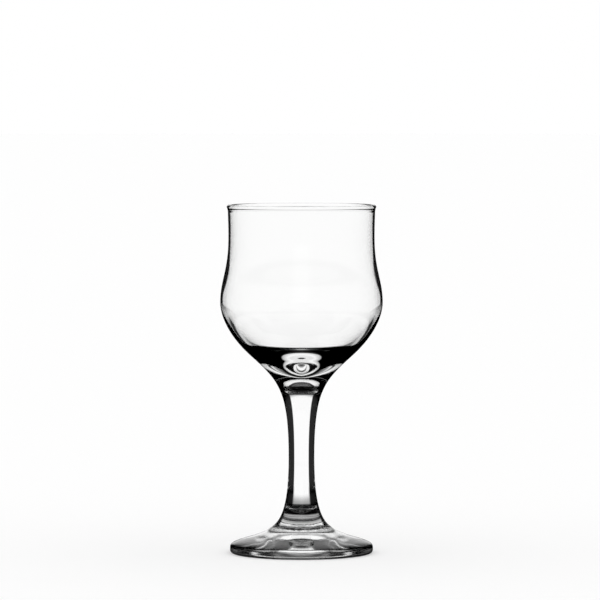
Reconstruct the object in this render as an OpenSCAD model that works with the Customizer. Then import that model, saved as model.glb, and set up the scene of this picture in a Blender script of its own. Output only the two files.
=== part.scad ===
// Stemmed sherry glass: a bulged bowl on a solid flared stem and a low round foot.
// Millimetres, +Z up, origin at the middle of the rest ring under the foot.
// Every piece is a solid of revolution. Its outline is a chain of smooth curves between stations.
// A station is [radius, height, heading, reach before, reach after]. The heading is in degrees,
// 0 straight out and 90 straight up, and a reach is a share of the chord to the next station.

/* [Bowl] */
// Height of the bowl, from its joint with the stem to the top of the lip
bowl_h = 72.9; // [69:0.1:80]
// Outside diameter of the wall just under the lip
mouth_d = 57.2; // [54:0.1:60]
// Outside diameter at the waist
waist_d = 56.8; // [53:0.1:58]
// Height of the waist below the top of the lip
waist_drop = 12.5; // [10:0.1:15]
// Outside diameter at the belly, the widest place
belly_d = 63.2; // [60:0.1:68]
// Height of the belly above the joint with the stem
belly_rise = 34.8; // [32:0.1:37]
// Outside diameter of the shoulder, where the bowl tapers to the stem
shoulder_d = 39; // [36:0.1:42]
// Height of the shoulder above the joint with the stem
shoulder_rise = 13.9; // [12:0.1:15]
// Wall thickness at the mouth and the waist
wall_t = 1.2; // [0.9:0.1:1.8]
// Wall thickness at the belly
belly_wall_t = 1.45; // [1:0.05:2.2]
// Inside diameter of the hollow where its side turns into its floor
hollow_d = 43.9; // [41:0.1:45]
// Height of that turn above the joint with the stem
hollow_rise = 19.9; // [19:0.1:22]
// Inside diameter of the round dip in the floor
dip_d = 26; // [20:0.1:28]
// Height of the edge of the dip above the joint with the stem
dip_rise = 14.9; // [14:0.1:16]
// Thickness of solid glass under the middle of the hollow
floor_t = 8.7; // [7:0.1:12]

/* [Lip] */
// Height from the top of the lip down to the plain wall
lip_h = 3; // [2.4:0.1:4]
// How far the rounded lip stands out from the wall
lip_proud = 0.45; // [0.2:0.05:0.8]
// Radius of the rounded lip
lip_r = 0.85; // [0.75:0.05:1.1]

/* [Stem] */
// Length of the stem, from its joint with the foot to its joint with the bowl
stem_l = 51.9; // [40:0.1:70]
// Diameter of the stem at its thinnest
stem_d = 10; // [8:0.1:12]
// Height of the thinnest place above the joint with the foot
stem_thin_rise = 26.8; // [20:0.1:32]
// Diameter of the joint between the stem and the bowl
bowl_joint_d = 16.3; // [14:0.1:18]
// Diameter of the joint between the stem and the foot
foot_joint_d = 21.2; // [18:0.1:24]

/* [Foot] */
// Height of the foot, from the table to its joint with the stem
foot_h = 10.9; // [9.6:0.1:12]
// Diameter of the foot
foot_d = 55.7; // [52:0.1:64]
// Diameter where the flare of the stem runs out into the flat of the foot
flare_d = 35; // [32:0.1:38]
// Height of the foot at that place
flare_h = 7; // [6.2:0.1:7.6]
// Height of the foot's upper face where its rounded edge begins
edge_h = 3.8; // [3.3:0.1:4.4]
// Radius of the foot's upper edge
edge_top_r = 1.75; // [1:0.05:2]
// Radius of the foot's lower edge
edge_low_r = 1.3; // [0.8:0.05:1.6]
// Width of the flat ring that the glass stands on
rest_ring_w = 1.6; // [1:0.1:3]
// Height of the shallow hollow under the foot
under_h = 1.8; // [1:0.1:2.6]

/* [Hidden] */

// Straight steps in each curve of an outline, in each corner of the foot and round the lip
curve_steps = 9;
corner_steps = 6;
lip_steps = 16;
round_fn = 96;

// Headings of the outlines
level = 0;
upright = 90;
inward = 180;
bowl_joint_lean = 66.9;
shoulder_lean = 41.7;
hollow_lean = 44.4;
dip_lean = 30.5;
foot_joint_lean = 139;
flare_lean = 158;
edge_lean = 152.4;
lip_start_turn = -30;
lip_end_turn = 210;

// Reaches of the curves before and after each station
mouth_shares = [0.15, 0.3];
waist_shares = [0.52, 0.6];
belly_shares = [0.18, 0.35];
shoulder_shares = [0.58, 0.53];
bowl_joint_shares = [0.28, 0.25];
hollow_belly_shares = [0.28, 0.35];
hollow_shares = [0.26, 0.365];
dip_shares = [0.3, 0.3];
floor_shares = [0.2, 0.2];
stem_thin_shares = [0.46, 0.31];
foot_joint_shares = [0.5, 0.22];
flare_shares = [0.33, 0.55];
edge_shares = [0.3, 0.33];
under_shares = [0.4, 0.4];

glass_colour = [0.86, 0.92, 0.93, 0.45];
stem_colour = [0.76, 0.86, 0.88, 0.7];
foot_colour = [0.66, 0.79, 0.82, 0.8];

// A station from its radius, its height, its heading and its pair of reaches
function station(radius, height, heading, shares) = [radius, height, heading, shares[0], shares[1]];

function heading_of(angle) = [cos(angle), sin(angle)];
function place_of(at) = [at[0], at[1]];

// One point of the cubic curve with these four control points
function curve_point(a, b, c, d, t) =
    a * pow(1 - t, 3) + b * 3 * t * pow(1 - t, 2) + c * 3 * pow(t, 2) * (1 - t) + d * pow(t, 3);

// The curve from one station to the next, without its first point
function curve(from, to) =
    let (chord = norm(place_of(to) - place_of(from)))
    let (leave = place_of(from) + heading_of(from[2]) * from[4] * chord)
    let (arrive = place_of(to) - heading_of(to[2]) * to[3] * chord)
    [for (i = [1 : curve_steps]) curve_point(place_of(from), leave, arrive, place_of(to), i / curve_steps)];

// The chain of curves through a list of stations, with its first point
function chain(stations) = concat(
    [place_of(stations[0])],
    [for (i = [1 : len(stations) - 1]) each curve(stations[i - 1], stations[i])]);

// Points round an arc, with both its ends
function arc(middle, radius, from, to, steps) =
    [for (i = [0 : steps]) middle + heading_of(from + (to - from) * i / steps) * radius];

// A list of stations walked the other way
function turned(stations) =
    [for (i = [len(stations) - 1 : -1 : 0])
        let (at = stations[i]) [at[0], at[1], at[2] + inward, at[4], at[3]]];

// The lip's round section stands lip_proud outside the wall
lip_middle = [mouth_d / 2 + lip_proud - lip_r, bowl_h - lip_r];
lip_arc = arc(lip_middle, lip_r, lip_start_turn, lip_end_turn, lip_steps);
lip_start = station(lip_arc[0][0], lip_arc[0][1], lip_start_turn + upright, mouth_shares);
lip_end = station(lip_arc[lip_steps][0], lip_arc[lip_steps][1], lip_end_turn + upright, mouth_shares);

bowl_outside = [
    station(bowl_joint_d / 2, 0, bowl_joint_lean, bowl_joint_shares),
    station(shoulder_d / 2, shoulder_rise, shoulder_lean, shoulder_shares),
    station(belly_d / 2, belly_rise, upright, belly_shares),
    station(waist_d / 2, bowl_h - waist_drop, upright, waist_shares),
    station(mouth_d / 2, bowl_h - lip_h, upright, mouth_shares),
    lip_start];

bowl_inside = [
    station(0, floor_t, level, floor_shares),
    station(dip_d / 2, dip_rise, dip_lean, dip_shares),
    station(hollow_d / 2, hollow_rise, hollow_lean, hollow_shares),
    station(belly_d / 2 - belly_wall_t, belly_rise, upright, hollow_belly_shares),
    station(waist_d / 2 - wall_t, bowl_h - waist_drop, upright, waist_shares),
    station(mouth_d / 2 - wall_t, bowl_h - lip_h, upright, mouth_shares)];

stem_outside = [
    station(foot_joint_d / 2, 0, foot_joint_lean, foot_joint_shares),
    station(stem_d / 2, stem_thin_rise, upright, stem_thin_shares),
    station(bowl_joint_d / 2, stem_l, bowl_joint_lean, bowl_joint_shares)];

// The foot's edge: a lower and an upper corner with a short upright band between them
foot_r = foot_d / 2;
rest_ring_r = foot_r - edge_low_r;
edge_turn = edge_lean - upright;
edge_top_middle = [foot_r - edge_top_r, edge_h - edge_top_r * sin(edge_turn)];
foot_low_corner = arc([rest_ring_r, edge_low_r], edge_low_r, -upright, level, corner_steps);
foot_top_corner = arc(edge_top_middle, edge_top_r, level, edge_turn, corner_steps);
edge_start = foot_top_corner[corner_steps];

// The foot's outline from its rounded edge up to the joint with the stem
foot_upper = [
    station(edge_start[0], edge_start[1], edge_lean, edge_shares),
    station(flare_d / 2, flare_h, flare_lean, flare_shares),
    station(foot_joint_d / 2, foot_h, foot_joint_lean, foot_joint_shares)];

// The shallow hollow under the foot, from its middle out to the rest ring
foot_under = [
    station(0, under_h, level, under_shares),
    station(rest_ring_r - rest_ring_w, 0, level, under_shares)];

module turned_solid(outline) {
    rotate_extrude($fn = round_fn)
        polygon(outline);
}

// Thin blown bowl with a rounded lip and a thick floor
module bowl() {
    color(glass_colour)
        translate([0, 0, foot_h + stem_l])
            turned_solid(concat(
                [[0, 0]],
                chain(bowl_outside),
                lip_arc,
                chain(concat([lip_end], turned(bowl_inside)))));
}

// Solid stem, thinnest in the middle and flared at both ends
module stem() {
    color(stem_colour)
        translate([0, 0, foot_h])
            turned_solid(concat([[0, 0]], chain(stem_outside), [[0, stem_l]]));
}

// Low round foot with a rounded edge and a shallow hollow underneath
module foot() {
    color(foot_colour)
        turned_solid(concat(
            chain(foot_under),
            foot_low_corner,
            foot_top_corner,
            chain(foot_upper),
            [[0, foot_h]]));
}

bowl();
stem();
foot();
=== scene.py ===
"""Sherry glass: a turned bowl, stem and foot of clear glass in a plain white studio."""

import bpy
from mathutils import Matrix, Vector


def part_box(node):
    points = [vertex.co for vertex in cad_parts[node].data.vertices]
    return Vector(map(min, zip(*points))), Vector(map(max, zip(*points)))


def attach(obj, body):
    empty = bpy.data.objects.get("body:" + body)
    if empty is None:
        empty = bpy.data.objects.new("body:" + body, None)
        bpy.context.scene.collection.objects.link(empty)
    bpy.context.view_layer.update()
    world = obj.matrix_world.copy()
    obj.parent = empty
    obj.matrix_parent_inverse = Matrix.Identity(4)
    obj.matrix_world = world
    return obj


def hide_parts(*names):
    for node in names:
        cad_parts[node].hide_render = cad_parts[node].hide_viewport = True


bl_info = {
    "name": "Sherry glass",
    "version": (1, 0, 0),
    "blender": (4, 5, 0),
    "location": "3D View > Sidebar > Sherry glass",
    "description": "Makes the bowl, the stem and the foot of a sherry glass and the studio round them",
    "category": "Add Mesh",
}

from math import cos, degrees, pi, radians, sin

import bmesh
import bpy
from bpy.props import FloatProperty, FloatVectorProperty, IntProperty, PointerProperty
from bpy.types import Operator, Panel, PropertyGroup
from mathutils import Vector, noise
from mathutils.geometry import interpolate_bezier

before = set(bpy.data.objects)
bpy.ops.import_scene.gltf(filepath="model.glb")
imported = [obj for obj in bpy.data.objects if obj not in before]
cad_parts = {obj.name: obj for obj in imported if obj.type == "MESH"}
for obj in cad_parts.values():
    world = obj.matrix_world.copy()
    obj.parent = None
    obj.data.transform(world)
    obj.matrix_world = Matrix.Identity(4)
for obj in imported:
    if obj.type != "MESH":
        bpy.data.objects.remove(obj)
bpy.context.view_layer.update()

MM = 0.001
UP = (0, 0, 1)
ACROSS = (0, 1, 0)

# Heights where the pieces meet, and the widest places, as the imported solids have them
FOOT_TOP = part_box("foot")[1].z
BOWL_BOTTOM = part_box("bowl")[0].z
LIP_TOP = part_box("bowl")[1].z
BELLY_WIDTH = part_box("bowl")[1].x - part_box("bowl")[0].x
FOOT_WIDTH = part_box("foot")[1].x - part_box("foot")[0].x

# Headings of an outline, in degrees: 0 straight out, 90 straight up and 180 straight in
LEVEL = 0
UPRIGHT = 90
INWARD = 180
BOWL_JOINT_LEAN = 66.9
SHOULDER_LEAN = 41.7
HOLLOW_LEAN = 44.4
DIP_LEAN = 30.5
FOOT_JOINT_LEAN = 139
FLARE_LEAN = 158
EDGE_LEAN = 152.4

# Reaches of an outline's curves before and after each place, as shares of the chord to the next one
MOUTH_REACH = (0.15, 0.3)
WAIST_REACH = (0.52, 0.6)
BELLY_REACH = (0.18, 0.35)
SHOULDER_REACH = (0.58, 0.53)
BOWL_JOINT_REACH = (0.28, 0.25)
FLOOR_MIDDLE_REACH = (0.2, 0.2)
DIP_REACH = (0.3, 0.3)
HOLLOW_REACH = (0.26, 0.365)
HOLLOW_BELLY_REACH = (0.28, 0.35)
THIN_REACH = (0.46, 0.31)
FOOT_JOINT_REACH = (0.5, 0.22)
FLARE_REACH = (0.33, 0.55)
EDGE_REACH = (0.3, 0.33)
UNDER_REACH = (0.4, 0.4)

# Where the lip's arc starts and ends round its middle, in degrees
LIP_START = -30
LIP_END = 210

# Steps in each curve of an outline, in each rounded corner and round the lip
CURVE_STEPS = 22
STEM_STEPS = 80
CORNER_STEPS = 10
LIP_STEPS = 24

# Points closer than this are one point
MERGE = 1e-7

# Edges that turn by more than this stay crisp, in degrees
CRISP = 50

# Where a fused disc and the inside of a hollow stand in a piece's list of materials, after the outer glass
FUSED = 1
INSIDE = 2

# Heights where the painted shade on the sides of the solid stem fades in, and where the painted shade along
# the bowl's edge takes its place
STEM_SHADE_LOW = (19 * MM, 23 * MM)
STEM_SHADE_HIGH = (65 * MM, 69 * MM)

# Heights where the painted shade along the edge of the bowl's wall fades in
WALL_SHADE_LOW = (90 * MM, 98 * MM)

# The Blend at which a Layer Weight's Facing is 1 less the cosine
EVEN_BLEND = 0.5

# Keeps the level part of a direction
LEVEL_PART = (1, 1, 0)

# A Mix node's first and second input and its output, by the kind of value that it mixes
MIX_SOCKETS = {"FLOAT": (2, 3, 0), "RGBA": (6, 7, 2)}

# Glossy Depths between no turn inside the glass and one, one and two, and two and more
ONE_TURN = 0.5
TWO_TURNS = 1.5
MORE_TURNS = 2.5

# Strength of the plain white that lights everything else
PLAIN_WHITE = 1.0

# The room, as (degrees above the horizon, brightness), for each way that light comes to the eye
SKY_STRAIGHT = ((18, 1), (25, 0.5), (31, 0.22), (37, 0))
SKY_ONCE = ((-22, 0), (-17, 1), (53, 1), (58, 0.5), (64, 0.12), (80, 0.15), (86, 0))
SKY_TWICE = ((24, 0), (34, 0.3), (55, 0.3), (70, 0))
SKY_MIRRORED = ((0.5, 0.03), (2.5, 1), (60, 1), (75, 0))

# How far to the left or right the mirrored room goes dark: 0 is straight ahead, 1 is full left or right
SIDE_FLAGS = (0.1, 0.3)

# The table top, as (metres from the middle of the foot, brightness), for each way that light comes to the eye
TABLE_STRAIGHT = ((0.025, 1), (0.029, 0.7), (0.034, 0.15), (0.050, 0.35), (0.100, 1))
TABLE_ONCE = (
    (0.008, 0.05), (0.011, 0.4), (0.016, 0.4), (0.022, 0.05), (0.030, 0.05), (0.045, 0.25), (0.120, 0.35),
    (0.155, 0.9), (0.172, 0.9), (0.192, 0.05), (0.225, 0.05), (0.260, 0.6), (0.300, 1))
TABLE_TWICE = (
    (0.0095, 1), (0.0108, 0.05), (0.018, 0.05), (0.024, 0.7), (0.027, 1),
    (0.036, 0.85), (0.065, 0.85), (0.085, 1), (0.100, 1), (0.130, 0.8), (0.200, 0.6),
    (0.354, 0.12), (0.398, 0))
TABLE_LATER = (
    (0.006, 0), (0.007, 0.9), (0.014, 0.9), (0.030, 0.3), (0.036, 0), (0.060, 0),
    (0.068, 0.25), (0.095, 0.25), (0.110, 0))

# Distance that those lists reach to
TABLE_FAR = 0.4

# The table top itself: its reach, the steps round it and the hair of air under the foot
FLOOR_REACH = 20
FLOOR_STEPS = 96
FLOOR_GAP = 0.02 * MM

# The fused seam of stem and foot: how far up and down it is uneven, and the radius it keeps outside
SEAM_REACH = 1.5 * MM
SEAM_CLEAR = 8 * MM

# The seam's fine waves: their depth as a share of the large ones, and how many go to a large one
FINE_DEPTH = 0.5
FINE_COUNT = 2.3

# A ragged band of painted shade along the seam: its waves and their levels of detail, how they stretch and
# shift it, the noise that leaves it in place, its rise, and where it fades
SEAM_WAVES = 500
SEAM_DETAIL = 3
SEAM_STRETCH = (1, 1, 3.5)
SEAM_UNEVEN = 2.6 * MM
NOISE_MIDDLE = 0.5
SEAM_RISE = -0.3 * MM
SEAM_SHADE_BAND = (0.3 * MM, 1.6 * MM)

# The rings of painted shade above it: heights of the flare's neck and the bowl's throat, and where both fade
NECK = 16.6 * MM
THROAT = 64.5 * MM
SHADE_RING_BAND = (0.8 * MM, 1.6 * MM)

# The painted shade on the rim of the stem's lower flare: heights where it fades in, narrows to the neck's and
# fades out
FLARE_LOW = (9.5 * MM, 10.5 * MM)
FLARE_TURN = (17 * MM, 19 * MM)
FLARE_HIGH = (24 * MM, 28 * MM)

# Where the painted shade on the rims of the flare and of its neck sets in, from 0 in the middle to 1 at the
# outline
FLARE_SHADE_RIM = (0.45, 0.58)
NECK_SHADE_RIM = (0.1, 0.18)

# The painted shade on the rim of the foot's edge: heights where it fades out, and where it sets in, from 0 to
# 1
FOOT_EDGE_TOP = (3.6 * MM, 4.2 * MM)
FOOT_SHADE_RIM = (0.2, 0.32)

# Camera, from the flatness of the rim's and the foot's ellipses
LENS = 255.84
SENSOR = 36
CAMERA_PLACE = (-0.58 * MM, -1656.6 * MM, 176.7 * MM)
CAMERA_DIP = 2.7


def length_property(name, description, default):
    """A size in metres, shown in the scene's own unit."""
    return FloatProperty(
        name=name, description=description, default=default, unit="LENGTH", min=0, precision=5)


def share_property(name, description, default):
    """A share from 0 to 1, shown as a slider."""
    return FloatProperty(
        name=name, description=description, default=default, subtype="FACTOR", min=0, max=1, precision=4)


def colour_property(name, description, default):
    """A colour, shown as a swatch."""
    return FloatVectorProperty(
        name=name, description=description, default=default, subtype="COLOR", size=3, min=0, max=1)


class SherryBowlSizes(PropertyGroup):
    """Sizes of the bowl. Rises are from its joint with the stem."""

    mouth_width: length_property("Mouth width", "Outside width of the wall just under the lip", 57.2 * MM)
    waist_width: length_property("Waist width", "Outside width where the wall is drawn in", 56.8 * MM)
    waist_drop: length_property("Waist drop", "From the top of the lip down to the waist", 12.5 * MM)
    belly_width: length_property("Belly width", "Outside width at the widest place", round(BELLY_WIDTH, 4))
    belly_rise: length_property("Belly rise", "Height of the belly", 34.8 * MM)
    shoulder_width: length_property("Shoulder width", "Outside width where the bowl tapers in", 39 * MM)
    shoulder_rise: length_property("Shoulder rise", "Height of the shoulder", 13.9 * MM)
    joint_width: length_property("Joint width", "Width where the bowl meets the stem", 16.3 * MM)
    wall: length_property("Wall", "Thickness at the mouth and the waist", 1.2 * MM)
    belly_wall: length_property("Belly wall", "Thickness at the belly", 1.45 * MM)
    hollow_width: length_property("Hollow width", "Inside width where the side meets the floor", 43.9 * MM)
    hollow_rise: length_property("Hollow rise", "Height of that turn", 19.9 * MM)
    dip_width: length_property("Dip width", "Inside width of the round dip in the floor", 26 * MM)
    dip_rise: length_property("Dip rise", "Height of the edge of the dip", 14.9 * MM)
    floor: length_property("Floor", "Solid glass under the middle of the hollow", 8.7 * MM)
    lip_height: length_property("Lip height", "From the top of the lip down to the plain wall", 3 * MM)
    lip_proud: length_property("Lip proud", "How far the rounded lip stands out from the wall", 0.45 * MM)
    lip_radius: length_property("Lip radius", "Radius of the rounded lip", 0.85 * MM)


class SherryStemSizes(PropertyGroup):
    """Sizes of the stem."""

    width: length_property("Width", "Width at the thinnest place", 10 * MM)
    thin_rise: length_property("Thinnest place", "Its height above the joint with the foot", 26.8 * MM)
    foot_joint_width: length_property("Foot joint", "Width where the stem meets the foot", 21.2 * MM)
    seam_depth: length_property("Seam depth", "Unevenness of the seam between stem and foot", 0.09 * MM)
    seam_grain: length_property("Seam grain", "Size of that unevenness", 0.8 * MM)


class SherryFootSizes(PropertyGroup):
    """Sizes of the foot."""

    width: length_property("Width", "Width of the foot", round(FOOT_WIDTH, 4))
    flare_width: length_property("Flare width", "Width where the stem's flare runs out", 35 * MM)
    flare_height: length_property("Flare height", "Height of the foot at that place", 7 * MM)
    edge_height: length_property("Edge height", "Height where the rounded edge begins", 3.8 * MM)
    edge_top_radius: length_property("Upper edge radius", "Radius of the upper edge", 1.75 * MM)
    edge_low_radius: length_property("Lower edge radius", "Radius of the lower edge", 1.3 * MM)
    rest_ring: length_property("Rest ring", "Width of the flat ring that the glass stands on", 1.6 * MM)
    under_height: length_property("Under hollow", "Height of the shallow hollow underneath", 1.8 * MM)


class SherryGlassLook(PropertyGroup):
    """The clear glass of all three pieces, and the shade painted into its colour."""

    tint: colour_property("Tint", "Colour of the glass", (0.997, 0.998, 0.997))
    gloss: colour_property("Gloss", "Colour of what the glass mirrors head on", (0.45, 0.45, 0.45))
    ior: FloatProperty(name="IOR", description="How strongly the glass bends light", default=1.5, min=1)
    roughness: share_property("Roughness", "Of the polished surface", 0.0)
    foot_roughness: share_property("Foot roughness", "Of the foot", 0.08)
    # The next four set where shade is painted at the sides of solid glass and along the edge of a hollow wall
    core_shade_edge: share_property("Core edge", "Where the side of solid glass goes dark", 0.066)
    core_fade: share_property("Core fade", "How far it takes to go dark", 0.01)
    wall_shade_edge: share_property("Wall edge", "Where the edge of a hollow wall goes dark", 0.232)
    wall_fade: share_property("Wall fade", "How far it takes to go dark", 0.007)
    # Strength of the shade painted in the seam's band and in the rings at the neck and the throat, which also
    # sets the shade on the flare's rim
    painted_seam_shade: share_property("Seam dark", "How dim the seam between stem and foot is", 0.93)
    painted_ring_and_rim_shade: share_property("Neck dark", "How dim the flare's neck and the bowl's throat are", 0.9995)
    # Strength of the shade painted on the rim of the foot's edge
    painted_foot_edge_shade: share_property("Edge dark", "How dim the side of the foot's edge is", 0.985)
    # The brightness that all painted shade on the glass goes down to
    painted_shade_level: share_property("Side dark", "Brightness that the dark sides go down to", 0.0005)
    shadow: colour_property(
        "Shadow", "Colour of the light that the glass lets through to the table", (0.95, 0.96, 0.955))
    segments: IntProperty(name="Segments", description="Steps round each turned piece", default=256, min=32)


class SherryStudioLook(PropertyGroup):
    """The white studio."""

    white: share_property("White", "Strength of the white seen through the glass", 1.0)
    light: colour_property("Light", "Colour of the light", (1, 1, 1))
    paper: colour_property("Paper", "Colour of the table top", (0.9, 0.9, 0.9))


class Outline:
    """The half outline of a turned piece, drawn in the plane of X and Z from one end to the other."""

    def __init__(self, radius, height):
        self.mesh = bmesh.new()
        self.pen = self.mesh.verts.new((radius, 0, height))

    def line_to(self, radius, height):
        """Draws on in a straight line."""
        corner = self.mesh.verts.new((radius, 0, height))
        self.mesh.edges.new((self.pen, corner))
        self.pen = corner

    def curve(self, stations, steps=CURVE_STEPS):
        """Smooth curves through stations of (radius, height, heading, reach before, reach after)."""
        for here, there in zip(stations, stations[1:]):
            start_r, start_z, start_lean, _, after = here
            end_r, end_z, end_lean, before, _ = there
            start = Vector((start_r, 0, start_z))
            end = Vector((end_r, 0, end_z))
            chord = (end - start).length
            leave = start + heading(start_lean) * after * chord
            arrive = end - heading(end_lean) * before * chord
            for point in interpolate_bezier(start, leave, arrive, end, steps + 1)[1:]:
                self.line_to(point.x, point.z)

    def arc(self, radius, height, turn, steps):
        """Bends on round the middle at (radius, height) by turn degrees."""
        made = bmesh.ops.spin(
            self.mesh, geom=[self.pen], cent=(radius, 0, height), axis=ACROSS, angle=-radians(turn),
            steps=steps, use_merge=False)
        self.pen = [part for part in made["geom_last"] if isinstance(part, bmesh.types.BMVert)][0]

    def place(self):
        """Radius and height that the outline has come to."""
        return self.pen.co.x, self.pen.co.z

    def turned(self, name, segments, joints=(), hollow=False, seam=None):
        """Spins the outline into a closed piece.

        Its flat discs at the heights in joints are marked as fused, and the faces of a hollow as its inside.
        """
        work = self.mesh
        bmesh.ops.spin(
            work, geom=work.verts[:] + work.edges[:], cent=(0, 0, 0), axis=UP, angle=2 * pi,
            steps=segments, use_merge=True)
        bmesh.ops.remove_doubles(work, verts=work.verts, dist=MERGE)
        if seam:
            ragged_seam(work, *seam)
        bmesh.ops.recalc_face_normals(work, faces=work.faces)
        for face in work.faces:
            face.smooth = True
            if hollow and face.normal.xy.dot(face.calc_center_median().xy) < 0:
                face.material_index = INSIDE
            for height in joints:
                if all(abs(corner.co.z - height) < MERGE for corner in face.verts):
                    face.material_index = FUSED
                    face.smooth = False
        mesh = bpy.data.meshes.new(name)
        work.to_mesh(mesh)
        work.free()
        mesh.set_sharp_from_angle(angle=radians(CRISP))
        piece = bpy.data.objects.new(name, mesh)
        bpy.context.scene.collection.objects.link(piece)
        return piece


def ragged_seam(work, height, depth, grain):
    """Leaves the outside uneven where two pieces were fused while hot, with the same waves on both."""
    for corner in work.verts:
        away = abs(corner.co.z - height) / SEAM_REACH
        if away < 1 and corner.co.xy.length > SEAM_CLEAR:
            swell = (1 - away * away) ** 2
            wave = noise.noise(corner.co / grain) + FINE_DEPTH * noise.noise(corner.co * FINE_COUNT / grain)
            out = corner.co.xy.normalized() * depth * swell * wave
            corner.co.x += out.x
            corner.co.y += out.y


def heading(angle):
    """The way a heading points, in the plane of X and Z."""
    return Vector((cos(radians(angle)), 0, sin(radians(angle))))


def turned_back(stations):
    """The same stations walked the other way."""
    return [(r, z, lean + INWARD, after, before) for r, z, lean, before, after in reversed(stations)]


def bowl_joint(width):
    """Where the outline passes from the stem to the bowl."""
    return (width / 2, BOWL_BOTTOM, BOWL_JOINT_LEAN, *BOWL_JOINT_REACH)


def foot_joint(width):
    """Where the outline passes from the foot to the stem."""
    return (width / 2, FOOT_TOP, FOOT_JOINT_LEAN, *FOOT_JOINT_REACH)


def make_bowl(sizes, segments):
    """Thin blown bowl with a rounded lip and a thick floor."""
    mouth, waist, belly = sizes.mouth_width / 2, sizes.waist_width / 2, sizes.belly_width / 2
    waist_z = LIP_TOP - sizes.waist_drop
    wall_z = LIP_TOP - sizes.lip_height
    belly_z = BOWL_BOTTOM + sizes.belly_rise
    lip_r = sizes.lip_radius
    lip_mid = mouth + sizes.lip_proud - lip_r
    lip_z = LIP_TOP - lip_r
    start, end = heading(LIP_START) * lip_r, heading(LIP_END) * lip_r
    outside = [
        bowl_joint(sizes.joint_width),
        (sizes.shoulder_width / 2, BOWL_BOTTOM + sizes.shoulder_rise, SHOULDER_LEAN, *SHOULDER_REACH),
        (belly, belly_z, UPRIGHT, *BELLY_REACH),
        (waist, waist_z, UPRIGHT, *WAIST_REACH),
        (mouth, wall_z, UPRIGHT, *MOUTH_REACH),
        (lip_mid + start.x, lip_z + start.z, LIP_START + UPRIGHT, *MOUTH_REACH),
    ]
    inside = [
        (0, BOWL_BOTTOM + sizes.floor, LEVEL, *FLOOR_MIDDLE_REACH),
        (sizes.dip_width / 2, BOWL_BOTTOM + sizes.dip_rise, DIP_LEAN, *DIP_REACH),
        (sizes.hollow_width / 2, BOWL_BOTTOM + sizes.hollow_rise, HOLLOW_LEAN, *HOLLOW_REACH),
        (belly - sizes.belly_wall, belly_z, UPRIGHT, *HOLLOW_BELLY_REACH),
        (waist - sizes.wall, waist_z, UPRIGHT, *WAIST_REACH),
        (mouth - sizes.wall, wall_z, UPRIGHT, *MOUTH_REACH),
    ]
    outline = Outline(0, BOWL_BOTTOM)
    outline.line_to(sizes.joint_width / 2, BOWL_BOTTOM)
    outline.curve(outside)
    outline.arc(lip_mid, lip_z, LIP_END - LIP_START, LIP_STEPS)
    lip_end = (lip_mid + end.x, lip_z + end.z, LIP_END + UPRIGHT, *MOUTH_REACH)
    outline.curve([lip_end] + turned_back(inside))
    return outline.turned("blown_bowl", segments, joints=[BOWL_BOTTOM], hollow=True)


def make_stem(sizes, bowl_sizes, segments):
    """Solid stem, thinnest in the middle and flared at both ends."""
    outline = Outline(0, FOOT_TOP)
    outline.line_to(sizes.foot_joint_width / 2, FOOT_TOP)
    outline.curve([
        foot_joint(sizes.foot_joint_width),
        (sizes.width / 2, FOOT_TOP + sizes.thin_rise, UPRIGHT, *THIN_REACH),
        bowl_joint(bowl_sizes.joint_width),
    ], steps=STEM_STEPS)
    outline.line_to(0, BOWL_BOTTOM)
    seam = (FOOT_TOP, sizes.seam_depth, sizes.seam_grain)
    return outline.turned("drawn_stem", segments, joints=[FOOT_TOP, BOWL_BOTTOM], seam=seam)


def make_foot(sizes, stem_sizes, segments):
    """Low round foot with a rounded edge and a shallow hollow underneath."""
    reach = sizes.width / 2
    ring = reach - sizes.edge_low_radius
    turn = EDGE_LEAN - UPRIGHT
    top_r = sizes.edge_top_radius
    top_z = sizes.edge_height - top_r * sin(radians(turn))
    outline = Outline(0, sizes.under_height)
    outline.curve([
        (0, sizes.under_height, LEVEL, *UNDER_REACH),
        (ring - sizes.rest_ring, 0, LEVEL, *UNDER_REACH),
    ])
    outline.line_to(ring, 0)
    outline.arc(ring, sizes.edge_low_radius, UPRIGHT, CORNER_STEPS)
    outline.line_to(reach, top_z)
    outline.arc(reach - top_r, top_z, turn, CORNER_STEPS)
    radius, height = outline.place()
    outline.curve([
        (radius, height, EDGE_LEAN, *EDGE_REACH),
        (sizes.flare_width / 2, sizes.flare_height, FLARE_LEAN, *FLARE_REACH),
        foot_joint(stem_sizes.foot_joint_width),
    ])
    outline.line_to(0, FOOT_TOP)
    seam = (FOOT_TOP, stem_sizes.seam_depth, stem_sizes.seam_grain)
    return outline.turned("round_foot", segments, joints=[FOOT_TOP], seam=seam)


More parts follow.
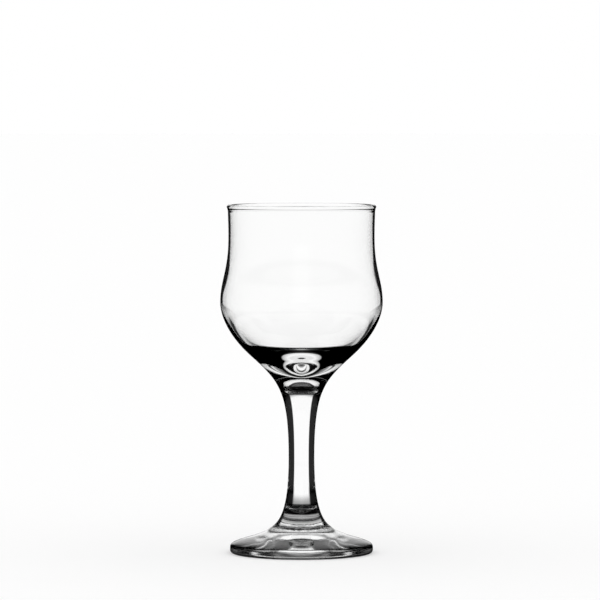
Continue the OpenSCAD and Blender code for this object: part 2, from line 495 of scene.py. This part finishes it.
class Nodes:
    """Adds and links the nodes of one material or world."""

    def __init__(self, tree):
        self.tree = tree
        tree.nodes.clear()

    def add(self, kind, **settings):
        made = self.tree.nodes.new(kind)
        for key, value in settings.items():
            setattr(made, key, value)
        return made

    def feed(self, socket, value):
        """Links a socket to another node's output, or sets it to a plain value."""
        if isinstance(value, bpy.types.NodeSocket):
            self.tree.links.new(value, socket)
        else:
            socket.default_value = value

    def fill(self, made, *values):
        """Feeds a node's inputs in order and gives its first output."""
        for socket, value in zip(made.inputs, values):
            self.feed(socket, value)
        return made.outputs[0]

    def math(self, operation, *values):
        return self.fill(self.add("ShaderNodeMath", operation=operation), *values)

    def vector(self, operation, *values):
        return self.fill(self.add("ShaderNodeVectorMath", operation=operation), *values)

    def ramp(self, value, start, end, low=0.0, high=1.0):
        """A smooth step from low to high as value goes from start to end."""
        made = self.add("ShaderNodeMapRange", interpolation_type="SMOOTHSTEP")
        return self.fill(made, value, start, end, low, high)

    def steps(self, value, low, high, points, scale):
        """Brightness times scale along a chain of (position, brightness) points between low and high."""
        shades = self.add("ShaderNodeValToRGB")
        bar = shades.color_ramp
        bar.interpolation = "EASE"
        while len(bar.elements) < len(points):
            bar.elements.new(1.0)
        for stop, (position, brightness) in zip(bar.elements, points):
            stop.position = (position - low) / (high - low)
            stop.color = (brightness, brightness, brightness, 1)
        share = self.fill(self.add("ShaderNodeMapRange"), value, low, high, 0.0, 1.0)
        return self.math("MULTIPLY", self.fill(shades, share), scale)

    def choose(self, share, first, second, kind="FLOAT"):
        """The first value where share is 0, the second where it is 1. The kind is FLOAT or RGBA."""
        made = self.add("ShaderNodeMix", data_type=kind)
        first_socket, second_socket, result = MIX_SOCKETS[kind]
        self.feed(made.inputs[0], share)
        self.feed(made.inputs[first_socket], first)
        self.feed(made.inputs[second_socket], second)
        return made.outputs[result]

    def choose_shader(self, share, first, second):
        """The first shader where share is 0, the second where it is 1."""
        return self.fill(self.add("ShaderNodeMixShader"), share, first, second)

    def by_path(self, straight, once, twice, later, mirrored):
        """Picks what a ray sees: straight through the glass, after turns inside it, or in its outer face."""
        path = self.add("ShaderNodeLightPath")
        depth = path.outputs["Glossy Depth"]
        seen = self.choose(self.math("GREATER_THAN", depth, MORE_TURNS), twice, later)
        seen = self.choose(self.math("GREATER_THAN", depth, TWO_TURNS), once, seen)
        seen = self.choose(self.math("GREATER_THAN", depth, ONE_TURN), straight, seen)
        return self.choose(path.outputs["Is Reflection Ray"], seen, mirrored)

    def show(self, shader, output="ShaderNodeOutputMaterial"):
        """Shows a shader as the surface of the material, or of the world."""
        self.feed(self.add(output).inputs["Surface"], shader)


def new_material(name):
    """A material without nodes, and what adds them."""
    material = bpy.data.materials.new(name)
    material.use_nodes = True
    return material, Nodes(material.node_tree)


def rod_sides(nodes):
    """How far round from the middle of a rod the surface turns: 0 in the middle, 1 at its side.

    It leaves out how much the surface leans up or down, so a flare reads as the plain rod does.
    """
    normal = nodes.add("ShaderNodeNewGeometry").outputs["Normal"]
    across = nodes.add("ShaderNodeLayerWeight")
    across.inputs["Blend"].default_value = EVEN_BLEND
    level = nodes.vector("NORMALIZE", nodes.vector("MULTIPLY", normal, LEVEL_PART))
    nodes.feed(across.inputs["Normal"], level)
    return across.outputs["Facing"]


def painted_dark_sides(nodes, path, height, look):
    """How much shade is painted at the sides, in place of dark surroundings seen through the glass: wide
    where the glass is solid, thin along the edge of the bowl's wall.

    The shade counts for light that passes the surface or is mirrored in it, after one turn in the glass at
    most.
    """
    off_middle = rod_sides(nodes)
    core = nodes.ramp(off_middle, look.core_shade_edge, look.core_shade_edge + look.core_fade)
    core = nodes.math("MULTIPLY", core, nodes.ramp(height, *STEM_SHADE_LOW))
    wall = nodes.ramp(off_middle, look.wall_shade_edge, look.wall_shade_edge + look.wall_fade)
    wall = nodes.math("MULTIPLY", wall, nodes.ramp(height, *WALL_SHADE_LOW))
    side = nodes.choose(nodes.ramp(height, *STEM_SHADE_HIGH), core, wall)
    met = nodes.math("MAXIMUM", path.outputs["Is Transmission Ray"], path.outputs["Is Reflection Ray"])
    early = nodes.math("LESS_THAN", path.outputs["Glossy Depth"], TWO_TURNS)
    return nodes.math("MULTIPLY", side, nodes.math("MULTIPLY", met, early))


def painted_dark_rims(nodes, path, height, look):
    """How much shade is painted on the rims of the stem's lower flare and the foot's edge, on the face
    nearest the eye.
    """
    rim = nodes.add("ShaderNodeLayerWeight")
    rim.inputs["Blend"].default_value = EVEN_BLEND
    rim = rim.outputs["Facing"]
    turned = nodes.ramp(height, *FLARE_TURN)
    flare = nodes.choose(turned, nodes.ramp(rim, *FLARE_SHADE_RIM), nodes.ramp(rim, *NECK_SHADE_RIM))
    flare = nodes.math("MULTIPLY", flare, nodes.ramp(height, *FLARE_LOW, 0.0, look.painted_ring_and_rim_shade))
    flare = nodes.math("MULTIPLY", flare, nodes.ramp(height, *FLARE_HIGH, 1.0, 0.0))
    foot_edge = nodes.ramp(height, *FOOT_EDGE_TOP, look.painted_foot_edge_shade, 0.0)
    foot_edge = nodes.math("MULTIPLY", foot_edge, nodes.ramp(rim, *FOOT_SHADE_RIM))
    return nodes.math("MULTIPLY", nodes.math("MAXIMUM", flare, foot_edge), path.outputs["Is Camera Ray"])


def painted_shade_rings(nodes, where, height, look):
    """How much shade is painted in a ragged band along the seam, and in plain rings at the neck and the
    throat.
    """
    grain = nodes.add("ShaderNodeTexNoise")
    nodes.feed(grain.inputs["Vector"], nodes.vector("MULTIPLY", where, SEAM_STRETCH))
    grain.inputs["Scale"].default_value = SEAM_WAVES
    grain.inputs["Detail"].default_value = SEAM_DETAIL
    uneven = nodes.math("MULTIPLY", nodes.math("SUBTRACT", grain.outputs[0], NOISE_MIDDLE), SEAM_UNEVEN)
    off_seam = nodes.math("ADD", nodes.math("SUBTRACT", height, FOOT_TOP + SEAM_RISE), uneven)
    seam = nodes.ramp(nodes.math("ABSOLUTE", off_seam), *SEAM_SHADE_BAND, look.painted_seam_shade, 0.0)
    off_ring = nodes.math("MINIMUM", *(
        nodes.math("ABSOLUTE", nodes.math("SUBTRACT", height, level)) for level in (NECK, THROAT)))
    return nodes.math("MAXIMUM", seam, nodes.ramp(off_ring, *SHADE_RING_BAND, look.painted_ring_and_rim_shade, 0.0))


def glass_material(name, look, roughness, outside=True):
    """Clear glass. The outside has painted shade at its sides, on its rims and in rings, the inside of the
    hollow none.
    """
    material, nodes = new_material(name)
    path = nodes.add("ShaderNodeLightPath")
    glass = nodes.add("ShaderNodeBsdfPrincipled")
    glass.inputs["Transmission Weight"].default_value = 1.0
    glass.inputs["Roughness"].default_value = roughness
    glass.inputs["IOR"].default_value = look.ior
    glass.inputs["Specular Tint"].default_value = (*look.gloss, 1)
    glass.inputs["Base Color"].default_value = (*look.tint, 1)
    if outside:
        where = nodes.add("ShaderNodeTexCoord").outputs["Object"]
        place = nodes.add("ShaderNodeSeparateXYZ")
        nodes.feed(place.inputs[0], where)
        height = place.outputs["Z"]
        # Painted shade: how far the outside's colour goes from the tint towards the dark level, from the
        # rings, the sides and the rims
        dim = painted_shade_rings(nodes, where, height, look)
        dim = nodes.math("MAXIMUM", dim, painted_dark_sides(nodes, path, height, look))
        dim = nodes.math("MAXIMUM", dim, painted_dark_rims(nodes, path, height, look))
        painted_shade_colour = (look.painted_shade_level, look.painted_shade_level, look.painted_shade_level, 1)
        nodes.feed(glass.inputs["Base Color"], nodes.choose(dim, (*look.tint, 1), painted_shade_colour, "RGBA"))
    clear = nodes.add("ShaderNodeBsdfTransparent")
    clear.inputs["Color"].default_value = (*look.shadow, 1)
    nodes.show(nodes.choose_shader(path.outputs["Is Shadow Ray"], glass.outputs[0], clear.outputs[0]))
    return material


def seam_material(name):
    """The disc where two pieces are fused, which light crosses as if it were not there."""
    material, nodes = new_material(name)
    nodes.show(nodes.add("ShaderNodeBsdfTransparent").outputs[0])
    return material


def finish_piece(piece, node, slot, look):
    """Gives a turned piece its glass and its fused seams, and lets it stand for its CAD node."""
    roughness = look.foot_roughness if node == "foot" else look.roughness
    piece.data.materials.append(glass_material(slot, look, roughness))
    piece.data.materials.append(seam_material(slot + "_seam"))
    if node == "bowl":
        piece.data.materials.append(glass_material(slot + "_inside", look, roughness, outside=False))
    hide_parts(node)
    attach(piece, "root")


def studio_light(look):
    """A plain white room, shaded by height for what is seen through the glass or in it."""
    world = bpy.data.worlds.new("studio_light")
    world.use_nodes = True
    bpy.context.scene.world = world
    nodes = Nodes(world.node_tree)
    way = nodes.add("ShaderNodeSeparateXYZ")
    nodes.feed(way.inputs[0], nodes.add("ShaderNodeTexCoord").outputs["Generated"])
    height = nodes.math("MULTIPLY", nodes.math("ARCSINE", way.outputs["Z"]), degrees(1))

    def sky_of(points):
        return nodes.steps(height, -UPRIGHT, UPRIGHT, points, look.white)

    aside = nodes.math("ABSOLUTE", way.outputs["X"])
    mirrored = nodes.math("MULTIPLY", sky_of(SKY_MIRRORED), nodes.ramp(aside, *SIDE_FLAGS, 1.0, 0.0))
    strength = nodes.by_path(
        sky_of(SKY_STRAIGHT), sky_of(SKY_ONCE), sky_of(SKY_TWICE), later=0.0, mirrored=mirrored)
    path = nodes.add("ShaderNodeLightPath")
    plain = nodes.math("MAXIMUM", path.outputs["Is Diffuse Ray"], path.outputs["Is Camera Ray"])
    sky = nodes.add("ShaderNodeBackground")
    sky.inputs["Color"].default_value = (*look.light, 1)
    nodes.feed(sky.inputs["Strength"], nodes.choose(plain, strength, PLAIN_WHITE))
    nodes.show(sky.outputs[0], "ShaderNodeOutputWorld")


def paper_material(look):
    """White paper, shaded by its distance from the foot for what is seen through the glass or in it."""
    material, nodes = new_material("white_paper")
    path = nodes.add("ShaderNodeLightPath")
    paper = nodes.add("ShaderNodeBsdfDiffuse")
    paper.inputs["Color"].default_value = (*look.paper, 1)
    away = nodes.add("ShaderNodeVectorMath", operation="LENGTH")
    nodes.feed(away.inputs[0], nodes.add("ShaderNodeTexCoord").outputs["Object"])

    def table_of(points):
        return nodes.steps(away.outputs["Value"], 0, TABLE_FAR, points, look.white)

    through = nodes.by_path(
        table_of(TABLE_STRAIGHT), table_of(TABLE_ONCE), table_of(TABLE_TWICE), table_of(TABLE_LATER),
        mirrored=0.0)
    # What the paper lacks to be white, which only the camera sees and the shadow stays in
    lift = 1 - look.paper[0]
    glow = nodes.add("ShaderNodeEmission")
    nodes.feed(glow.inputs["Strength"], nodes.choose(path.outputs["Is Camera Ray"], through, lift))
    lit = nodes.fill(nodes.add("ShaderNodeAddShader"), paper.outputs[0], glow.outputs[0])
    glassy = nodes.math("MAXIMUM", path.outputs["Is Transmission Ray"], path.outputs["Is Glossy Ray"])
    nodes.show(nodes.choose_shader(glassy, lit, glow.outputs[0]))
    return material


def studio_floor(look):
    """A large pale table top, a hair below the foot, which keeps the shadow of the glass."""
    mesh = bpy.data.meshes.new("table_top")
    work = bmesh.new()
    bmesh.ops.create_circle(work, cap_ends=True, segments=FLOOR_STEPS, radius=FLOOR_REACH)
    bmesh.ops.translate(work, vec=(0, 0, -FLOOR_GAP), verts=work.verts)
    work.to_mesh(mesh)
    work.free()
    floor = bpy.data.objects.new("table_top", mesh)
    bpy.context.scene.collection.objects.link(floor)
    mesh.materials.append(paper_material(look))


def studio_camera():
    """The long lens of the photograph, a little above the middle of the glass and tipped down."""
    data = bpy.data.cameras.new("camera")
    data.lens = LENS
    data.sensor_width = SENSOR
    camera = bpy.data.objects.new("camera", data)
    camera.location = CAMERA_PLACE
    camera.rotation_euler = (radians(UPRIGHT - CAMERA_DIP), 0, 0)
    bpy.context.scene.collection.objects.link(camera)
    bpy.context.scene.camera = camera


class SHERRY_OT_bowl(Operator):
    """Make the bowl of the sherry glass"""

    bl_idname = "sherry.bowl"
    bl_label = "Bowl"

    def execute(self, context):
        scene = context.scene
        piece = make_bowl(scene.sherry_bowl, scene.sherry_glass.segments)
        finish_piece(piece, "bowl", "bowl_glass", scene.sherry_glass)
        return {"FINISHED"}


class SHERRY_OT_stem(Operator):
    """Make the stem of the sherry glass"""

    bl_idname = "sherry.stem"
    bl_label = "Stem"

    def execute(self, context):
        scene = context.scene
        piece = make_stem(scene.sherry_stem, scene.sherry_bowl, scene.sherry_glass.segments)
        finish_piece(piece, "stem", "stem_glass", scene.sherry_glass)
        return {"FINISHED"}


class SHERRY_OT_foot(Operator):
    """Make the foot of the sherry glass"""

    bl_idname = "sherry.foot"
    bl_label = "Foot"

    def execute(self, context):
        scene = context.scene
        piece = make_foot(scene.sherry_foot, scene.sherry_stem, scene.sherry_glass.segments)
        finish_piece(piece, "foot", "foot_glass", scene.sherry_glass)
        return {"FINISHED"}


class SHERRY_OT_studio(Operator):
    """Make the white table top, the light of the studio and the camera"""

    bl_idname = "sherry.studio"
    bl_label = "Studio"

    def execute(self, context):
        look = context.scene.sherry_studio
        studio_light(look)
        studio_floor(look)
        studio_camera()
        context.scene.view_settings.view_transform = "Standard"
        return {"FINISHED"}


class SHERRY_PT_panel(Panel):
    """Makes the sherry glass and its studio, and shows their sizes and colours"""

    bl_label = "Sherry glass"
    bl_space_type = "VIEW_3D"
    bl_region_type = "UI"
    bl_category = "Sherry glass"

    def draw(self, context):
        scene = context.scene
        for operator, holder in STEPS:
            box = self.layout.box()
            box.operator(operator)
            group = getattr(scene, holder)
            for key in type(group).__annotations__:
                box.prop(group, key)
        box = self.layout.box()
        box.label(text="Glass")
        for key in SherryGlassLook.__annotations__:
            box.prop(scene.sherry_glass, key)


# Each operator and the settings that stand under it in the panel
STEPS = (
    ("sherry.studio", "sherry_studio"),
    ("sherry.bowl", "sherry_bowl"),
    ("sherry.stem", "sherry_stem"),
    ("sherry.foot", "sherry_foot"),
)

# Each group of settings, by its name in the scene
GROUPS = {
    "sherry_bowl": SherryBowlSizes,
    "sherry_stem": SherryStemSizes,
    "sherry_foot": SherryFootSizes,
    "sherry_glass": SherryGlassLook,
    "sherry_studio": SherryStudioLook,
}

CLASSES = (
    *GROUPS.values(), SHERRY_OT_bowl, SHERRY_OT_stem, SHERRY_OT_foot, SHERRY_OT_studio, SHERRY_PT_panel)


def register():
    for kind in CLASSES:
        bpy.utils.register_class(kind)
    for holder, group in GROUPS.items():
        setattr(bpy.types.Scene, holder, PointerProperty(type=group))


def unregister():
    for holder in GROUPS:
        delattr(bpy.types.Scene, holder)
    for kind in reversed(CLASSES):
        bpy.utils.unregister_class(kind)


def main():
    register()
    bpy.ops.sherry.studio()
    bpy.ops.sherry.bowl()
    bpy.ops.sherry.stem()
    bpy.ops.sherry.foot()


if __name__ == "__main__":
    main()
